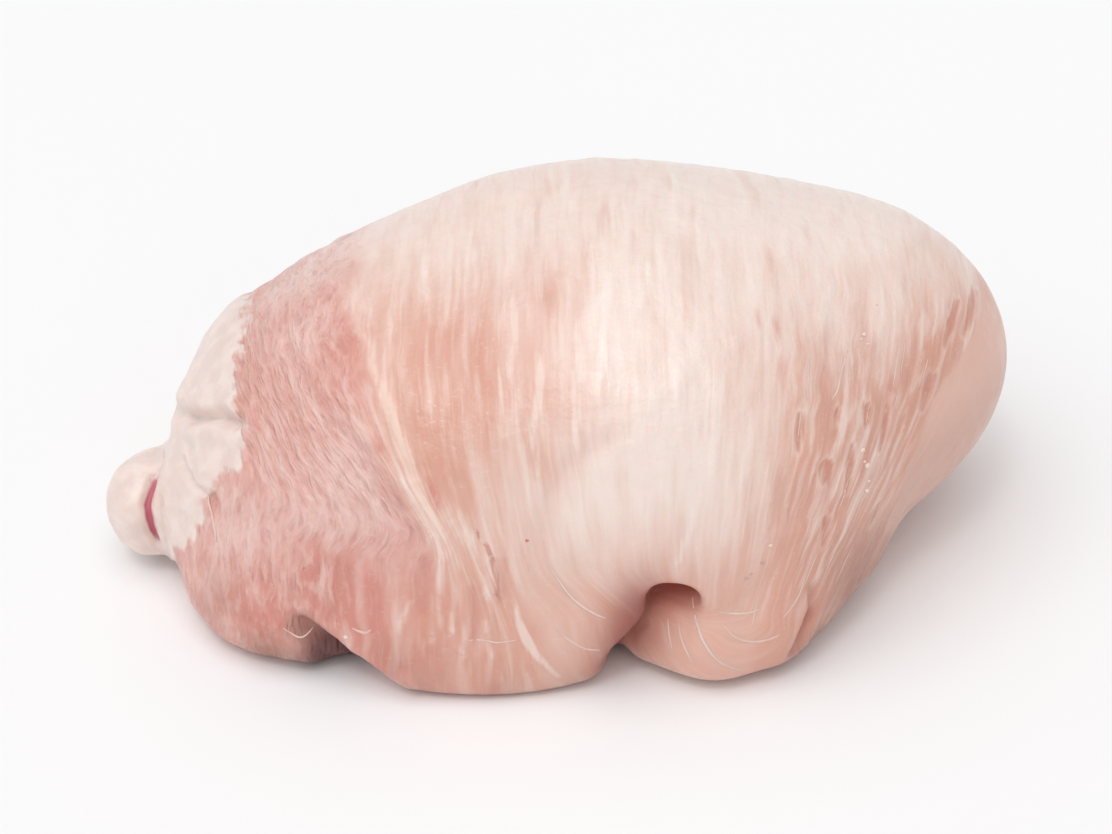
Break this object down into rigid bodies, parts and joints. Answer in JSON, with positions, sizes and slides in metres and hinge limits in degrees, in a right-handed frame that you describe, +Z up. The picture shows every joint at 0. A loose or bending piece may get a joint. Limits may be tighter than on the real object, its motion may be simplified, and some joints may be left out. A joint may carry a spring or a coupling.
{
  "type": "raw pork stomach",
  "caption": "Whole raw pork stomach lying on its underside: a plump folded bag of streaky pink muscle with a cream fat collar and a cut outlet at one end.",
  "frame": {"origin": "middle of the bounding box at the surface that the piece lies on", "axes": "+X from the cut outlet towards the large round end, -Y the folded front, +Z up"},
  "size_m": [0.2645, 0.1652, 0.1092],
  "materials": {
    "flesh": "moist, pale pink, streaky"
  },
  "bodies": {
    "root": {"pork_stomach": "flesh"}
  },
  "joints": []
}
